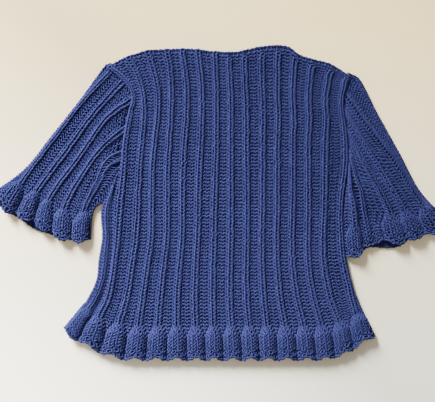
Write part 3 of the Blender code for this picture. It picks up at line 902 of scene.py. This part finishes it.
def core_piece(name, cloth, places, courses_at, material, closed=False):
    """A thin sheet along the middle of the knitting, thickened towards the inside of the garment."""
    rows = len(courses_at(places[0]))
    columns = len(places)
    bm = bmesh.new()
    bmesh.ops.create_grid(bm, x_segments=columns - 1, y_segments=rows - 1, size=1)
    across = np.repeat(np.array(places)[:, None], rows, axis=1)
    up = np.array([courses_at(place) for place in places])
    points = cloth(across.ravel(), up.ravel()).reshape(columns, rows, 3)
    for vert in bm.verts:
        column = round((vert.co.x + 1) / 2 * (columns - 1))
        row = round((vert.co.y + 1) / 2 * (rows - 1))
        x, y, z = points[column, row]
        z -= CORE_DROP * float(ramp(FOLD, FOLD + 1.0, z))
        vert.co = ((x + CENTRE_X) * MM, y * MM, max(z, CORE) * MM)
    if closed:
        bmesh.ops.remove_doubles(bm, verts=bm.verts[:], dist=CORE_JOIN * MM)
    copied = bmesh.ops.extrude_face_region(bm, geom=bm.faces[:], use_keep_orig=True)["geom"]
    for vert in copied:
        if isinstance(vert, bmesh.types.BMVert):
            inward = (FOLD * MM - vert.co.z) / (CORE * MM)
            vert.co.z += CORE * MM * max(-1, min(1, inward))
    bmesh.ops.recalc_face_normals(bm, faces=bm.faces[:])
    mesh = bpy.data.meshes.new(name)
    bm.to_mesh(mesh)
    bm.free()
    mesh.shade_smooth()
    mesh.materials.append(material)
    return place_piece(name, mesh)


# Materials


DYE = 0.14  # how far the dye varies either way
DYE_SCALE = 60  # patches to a metre
FIBRE_SCALE = 2200
FIBRE_DEPTH = 0.0002  # metres
FIBRE_STRENGTH = 0.4
FACTOR, COLOUR_A, COLOUR_B, MIXED = 0, 6, 7, 2  # sockets of a Mix node for colours


def noise(nodes, links, place, scale, detail):
    texture = nodes.new("ShaderNodeTexNoise")
    texture.inputs["Scale"].default_value = scale
    texture.inputs["Detail"].default_value = detail
    links.new(place, texture.inputs["Vector"])
    return texture.outputs["Fac"]


def uneven_wool():
    """The effect that both wools share: patches of lighter and darker dye, and fine fibres."""
    group = bpy.data.node_groups.new("uneven dye and fine fibres", "ShaderNodeTree")
    for name in ("Darker Dye", "Lighter Dye"):
        group.interface.new_socket(name, in_out="INPUT", socket_type="NodeSocketColor")
    group.interface.new_socket("Colour", in_out="OUTPUT", socket_type="NodeSocketColor")
    group.interface.new_socket("Normal", in_out="OUTPUT", socket_type="NodeSocketVector")
    nodes, links = group.nodes, group.links
    given = nodes.new("NodeGroupInput")
    result = nodes.new("NodeGroupOutput")
    place = nodes.new("ShaderNodeTexCoord").outputs["Object"]
    mix = nodes.new("ShaderNodeMix")
    mix.data_type = "RGBA"
    links.new(noise(nodes, links, place, DYE_SCALE, detail=3), mix.inputs[FACTOR])
    links.new(given.outputs["Darker Dye"], mix.inputs[COLOUR_A])
    links.new(given.outputs["Lighter Dye"], mix.inputs[COLOUR_B])
    links.new(mix.outputs[MIXED], result.inputs["Colour"])
    bump = nodes.new("ShaderNodeBump")
    bump.inputs["Strength"].default_value = FIBRE_STRENGTH
    bump.inputs["Distance"].default_value = FIBRE_DEPTH
    links.new(noise(nodes, links, place, FIBRE_SCALE, detail=2), bump.inputs["Height"])
    links.new(bump.outputs["Normal"], result.inputs["Normal"])
    return group


UNEVEN_WOOL = uneven_wool()


def wool_material(name, colour, rough):
    material = bpy.data.materials.new(name)
    material.use_nodes = True
    nodes, links = material.node_tree.nodes, material.node_tree.links
    shader = nodes["Principled BSDF"]
    shader.inputs["Roughness"].default_value = rough
    shader.inputs["Specular IOR Level"].default_value = 0.0
    wool = nodes.new("ShaderNodeGroup")
    wool.node_tree = UNEVEN_WOOL
    wool.inputs["Darker Dye"].default_value = [c * (1 - DYE) for c in colour] + [1]
    wool.inputs["Lighter Dye"].default_value = [c * (1 + DYE) for c in colour] + [1]
    links.new(wool.outputs["Colour"], shader.inputs["Base Color"])
    links.new(wool.outputs["Normal"], shader.inputs["Normal"])
    return material


yarn_wool = wool_material("blue wool yarn", (0.0216, 0.0240, 0.0830), 0.9)
# The core is the wool that shows in the gaps between the loops, darkened below the yarn's colour as
# painted shade in those gaps
painted_shade_core_wool = wool_material("blue wool in the gaps, darkened as painted shade", (0.0140, 0.0175, 0.0640), 0.95)


# The pieces


def back_row(course):
    """The back's stitches; below the underarm they reach the side seam."""
    low = SEAM_RIB if course < UNDERARM_COURSE + 2 else -KNIT_HALF - SLIVER
    stitches = ribbed(low, EDGE_RIB - INSET, range(LAST_RIB + 1), course)
    bumpy_from = BUMPY_RIB if course > NECK_ROWS - BUMPY_LAST else LAST_RIB + 1
    return [(start, end, PURL if start > bumpy_from else face) for start, end, face in stitches]


def edge_places(low, high):
    """Places along an edge that is bound, EDGE_SAMPLES to each loop."""
    count = round((high - low) / EDGE_STITCH) * EDGE_SAMPLES
    return np.linspace(low, high, count, endpoint=False)


def yarn_parts(name, knitting, stretches, samples, seed, edges):
    """The yarn of a piece in a few parts, each of some courses and some with a bound edge."""
    parts = []
    for number, courses in enumerate(stretches):
        part = f"{name}_yarn_{number + 1}"
        data = knit(part, knitting, range(*courses), samples, seed + number)
        if number in edges:
            bind(data, knitting, *edges[number])
        parts.append(yarn_piece(part, data, yarn_wool))
    return parts


back_parts = yarn_parts(
    "back",
    Knitting(back_rows, back_row, to_the_neck, False, False),
    ((1, 17), (17, 46), (46, 75), (75, 94)),
    samples=10,
    seed=10,
    edges={
        0: (edge_places(SEAM_RIB, EDGE_RIB), CAST_ON),
        3: (edge_places(-0.2, EDGE_RIB - 0.05), NECK_ROWS - NECK_TRIM, NECK_SUNK),
    },
)

BACK_PLACES = 15 * 9  # of the core's mesh
CORE_ROWS = np.linspace(0, 1, 70)


def back_core_rows(place):
    return CORE_START + CORE_ROWS * (NECK_ROWS - CORE_START)


back_core = core_piece(
    "back_core", back_rows, np.linspace(SEAM_RIB, EDGE_RIB, BACK_PLACES), back_core_rows, painted_shade_core_wool
)
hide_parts("back")


def right_row(course):
    return ribbed(MIDDLE_RIB, EDGE_RIB - FRONT_INSET, range(MIDDLE_RIB + 1, LAST_RIB + 1), course)


def left_row(course):
    """The left front's stitches, with those of its turned side first, up to the underarm."""
    if course >= SIDE_COURSE + SIDE_MORE:
        return ribbed(SEAM_RIB, MIDDLE_RIB, range(MIDDLE_RIB), course)
    half = float(np.interp(course - BELL_TOP, *STRIP_OPENING))
    knits = 1 if course > BELL_TOP else 3 if course > BELL_TOP - 2 else 4
    middle = (LEFT_END + LEFT_TURNED) / 2
    side = fill(LEFT_END + INSET, middle - half, 1, PURL)
    side += fill(middle - half, middle + half, knits, PURL if course == 2 else KNIT)
    side += fill(middle + half, LEFT_TURNED, 1, PURL)
    side += fill(LEFT_TURNED, -0.5, 4, PURL)
    return side + ribbed(-0.5, MIDDLE_RIB, range(MIDDLE_RIB), course)


left_front = front_cloth(-1)
right_front = front_cloth(1)


def left_cloth(rib, course):
    """The front and its turned side."""
    side = left_side_cloth(rib, course)
    body = left_front(rib, course)
    return np.where((rib < 0)[:, None], side, body)


def left_front_cloth(rib, course):
    """The same, with the side turned only up to the underarm."""
    turned = left_cloth(rib, course)
    flat = left_front(rib, course)
    wrapped = (course < SIDE_COURSE + SIDE_MORE + 0.5)[:, None]
    return np.where(wrapped, turned, flat)


def left_front_top(rib):
    return np.where(rib < SEAM_RIB, SIDE_COURSE + SIDE_MORE + 1.5, front_top(rib))


left_parts = yarn_parts(
    "left_front",
    Knitting(left_front_cloth, left_row, left_front_top, True, False),
    ((1, 26), (26, 90)),
    samples=6,
    seed=20,
    edges={0: (edge_places(LEFT_END, MIDDLE_RIB), CAST_ON)},
)
right_parts = yarn_parts(
    "right_front",
    Knitting(right_front, right_row, front_top, True, False),
    ((1, 40), (40, 90)),
    samples=6,
    seed=30,
    edges={},
)


def left_core_cloth(share, course):
    """The left front from its side, 0, to the centre opening, 1."""
    wrapped = left_cloth(LEFT_END + share * (MIDDLE_RIB - LEFT_END), course)
    flat = left_front(SEAM_RIB + share * (MIDDLE_RIB - SEAM_RIB), course)
    blend = ramp(SIDE_COURSE, UNDERARM_COURSE, course)[:, None]
    return wrapped * (1 - blend) + flat * blend


def front_core_courses(rib):
    return CORE_START + CORE_ROWS * (float(front_top(np.array([rib]))[0]) - FRONT_CORE_SHORT)


def left_core_courses(share):
    return front_core_courses(SEAM_RIB + share * (MIDDLE_RIB - SEAM_RIB))


left_core = core_piece(
    "left_front_core", left_core_cloth, np.linspace(0, 1, 100), left_core_courses, painted_shade_core_wool
)
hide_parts("left_front")

right_places = np.linspace(MIDDLE_RIB, EDGE_RIB - 0.05, 60)
right_core = core_piece("right_front_core", right_front, right_places, front_core_courses, painted_shade_core_wool)
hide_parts("right_front")


def sleeve_row(course, purls, crease, slim):
    """The stitches once round a sleeve."""
    upper_ribs = [rib + 0.5 for rib in range(SLEEVE_RIBS)]
    lower_ribs = [LOWER_START + rib for rib in upper_ribs]
    upper = ribbed(0, UPPER_END, upper_ribs, course, SLEEVE_BELL, purls, crease, slim)
    inner = fill(UPPER_END, LOWER_START, FOLD_PURLS, PURL)
    lower = ribbed(LOWER_START, LOWER_END, lower_ribs, course, SLEEVE_BELL)
    outer = fill(LOWER_END, ROUND, FOLD_PURLS, PURL)
    return upper + inner + lower + outer


SLEEVE_CORE_ROWS = np.linspace(0, 1, 50)
SLEEVE_CORE_PLACES = np.linspace(0, ROUND, 89)


def knit_sleeve(name, sleeve, seed):
    """A sleeve's core, which replaces its solid, and the parts of its yarn."""
    cloth, top = sleeve_cloth(sleeve)
    row = partial(sleeve_row, purls=sleeve.purls, crease=sleeve.crease, slim=sleeve.slim)
    knitting = Knitting(cloth, row, top, sleeve.turned, True)
    edges = {0: (edge_places(0, ROUND), CAST_ON)}
    parts = yarn_parts(name, knitting, ((1, 14), (14, 56)), samples=8, seed=seed, edges=edges)

    def core_courses(place):
        return CORE_START + SLEEVE_CORE_ROWS * (float(top(np.array([place]))[0]) - 2 * CORE_START)

    core = core_piece(f"{name}_core", cloth, SLEEVE_CORE_PLACES, core_courses, painted_shade_core_wool, closed=True)
    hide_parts(name)
    return core, parts


left_sleeve, left_sleeve_parts = knit_sleeve("left_sleeve", SLEEVES["left_sleeve"], seed=40)
right_sleeve, right_sleeve_parts = knit_sleeve("right_sleeve", SLEEVES["right_sleeve"], seed=50)


# The surface it lies on, the light and the camera


# Painted light on the table: its greys along a slanting line, from the near left to the far right,
# paint the window light's falloff, and its warmth from near to far paints the warmer room light
# where the window light is weaker; and how far each reaches either way
PAINTED_FALLOFF_GREYS = ((0.0, 1.0), (0.25, 0.81), (0.5, 0.60), (1.0, 1.0))
PAINTED_FALLOFF_SLOPE = 0.9
PAINTED_FALLOFF_REACH = 0.4
NEAR_PAINTED_LIGHT_TINT = (1.0, 0.95, 0.78, 1)
FAR_PAINTED_LIGHT_TINT = (1.0, 0.77, 0.36, 1)
PAINTED_TINT_REACH = 0.2


def painted_light_table_material():
    """A pale, slightly glossy surface with painted light: darker and warmer away from its near left."""
    material = bpy.data.materials.new("pale table with painted light")
    material.use_nodes = True
    nodes, links = material.node_tree.nodes, material.node_tree.links
    shader = nodes["Principled BSDF"]
    shader.inputs["Roughness"].default_value = 0.6
    coords = nodes.new("ShaderNodeTexCoord")
    split = nodes.new("ShaderNodeSeparateXYZ")
    links.new(coords.outputs["Object"], split.inputs[0])
    slant = nodes.new("ShaderNodeMath")
    slant.operation = "MULTIPLY_ADD"
    slant.inputs[1].default_value = PAINTED_FALLOFF_SLOPE
    links.new(split.outputs["Y"], slant.inputs[0])
    links.new(split.outputs["X"], slant.inputs[2])
    # Painted shade: the grey falls off away from the near left, standing in for the window light's
    # falloff
    dimmer = nodes.new("ShaderNodeMapRange")
    dimmer.inputs["From Min"].default_value = -PAINTED_FALLOFF_REACH
    dimmer.inputs["From Max"].default_value = PAINTED_FALLOFF_REACH
    links.new(slant.outputs[0], dimmer.inputs["Value"])
    painted_shade_ramp = nodes.new("ShaderNodeValToRGB")
    stops = painted_shade_ramp.color_ramp.elements
    for place, _ in PAINTED_FALLOFF_GREYS[1:-1]:
        stops.new(place)
    for stop, (_, grey) in zip(stops, PAINTED_FALLOFF_GREYS):
        stop.color = (grey, grey, grey, 1)
    links.new(dimmer.outputs["Result"], painted_shade_ramp.inputs[0])
    # Painted light: the tint grows warmer towards the far side, for the warmer room light where the
    # window light is weaker
    warmer = nodes.new("ShaderNodeMapRange")
    warmer.inputs["From Min"].default_value = -PAINTED_TINT_REACH
    warmer.inputs["From Max"].default_value = PAINTED_TINT_REACH
    links.new(split.outputs["Y"], warmer.inputs["Value"])
    painted_warm_tint = nodes.new("ShaderNodeMix")
    painted_warm_tint.data_type = "RGBA"
    painted_warm_tint.inputs[COLOUR_A].default_value = NEAR_PAINTED_LIGHT_TINT
    painted_warm_tint.inputs[COLOUR_B].default_value = FAR_PAINTED_LIGHT_TINT
    links.new(warmer.outputs["Result"], painted_warm_tint.inputs[FACTOR])
    paint = nodes.new("ShaderNodeMix")
    paint.data_type = "RGBA"
    paint.blend_type = "MULTIPLY"
    paint.inputs[FACTOR].default_value = 1.0
    links.new(painted_shade_ramp.outputs["Color"], paint.inputs[COLOUR_A])
    links.new(painted_warm_tint.outputs[MIXED], paint.inputs[COLOUR_B])
    links.new(paint.outputs[MIXED], shader.inputs["Base Color"])
    return material


TABLE = 2.5  # half its width, in metres


def make_surface():
    mesh = bpy.data.meshes.new("table")
    bm = bmesh.new()
    bmesh.ops.create_grid(bm, x_segments=1, y_segments=1, size=TABLE)
    bm.to_mesh(mesh)
    bm.free()
    mesh.materials.append(painted_light_table_material())
    table = bpy.data.objects.new("table", mesh)
    bpy.context.scene.collection.objects.link(table)


def add_light(name, place, aim, size, power, colour, spread):
    data = bpy.data.lights.new(name, "AREA")
    data.shape = "DISK"
    data.size = size
    data.energy = power
    data.color = colour
    data.spread = math.radians(spread)
    light = bpy.data.objects.new(name, data)
    light.location = place
    direction = Vector(aim) - Vector(place)
    light.rotation_mode = "QUATERNION"
    light.rotation_quaternion = direction.to_track_quat("-Z", "Y")
    bpy.context.scene.collection.objects.link(light)


CAMERA_HEIGHT = 0.85
CAMERA_Y = 0.0025
SENSOR = 36  # mm
VIEW_WIDTH = 0.4785  # what the picture's width holds at the garment's level
VIEW_LEVEL = 0.005


def make_camera():
    data = bpy.data.cameras.new("camera")
    data.sensor_width = SENSOR
    data.lens = SENSOR * (CAMERA_HEIGHT - VIEW_LEVEL) / VIEW_WIDTH
    camera = bpy.data.objects.new("camera", data)
    camera.location = (0, CAMERA_Y, CAMERA_HEIGHT)
    bpy.context.scene.collection.objects.link(camera)
    bpy.context.scene.camera = camera


def make_world():
    world = bpy.data.worlds.new("soft room light")
    world.use_nodes = True
    background = world.node_tree.nodes["Background"]
    background.inputs["Color"].default_value = (1.0, 0.93, 0.85, 1)
    background.inputs["Strength"].default_value = 0.57
    bpy.context.scene.world = world


make_surface()
add_light(
    "window",
    place=(-1.6, 2.0, 1.2),
    aim=(-0.38, -0.62, 0),
    size=1.4,
    power=93,
    colour=(0.96, 0.98, 1.0),
    spread=44,
)
add_light(
    "white wall",
    place=(-1.1, -0.9, 0.8),
    aim=(-0.15, -0.1, 0),
    size=1.2,
    power=6,
    colour=(1.0, 0.96, 0.9),
    spread=180,
)
make_world()
make_camera()
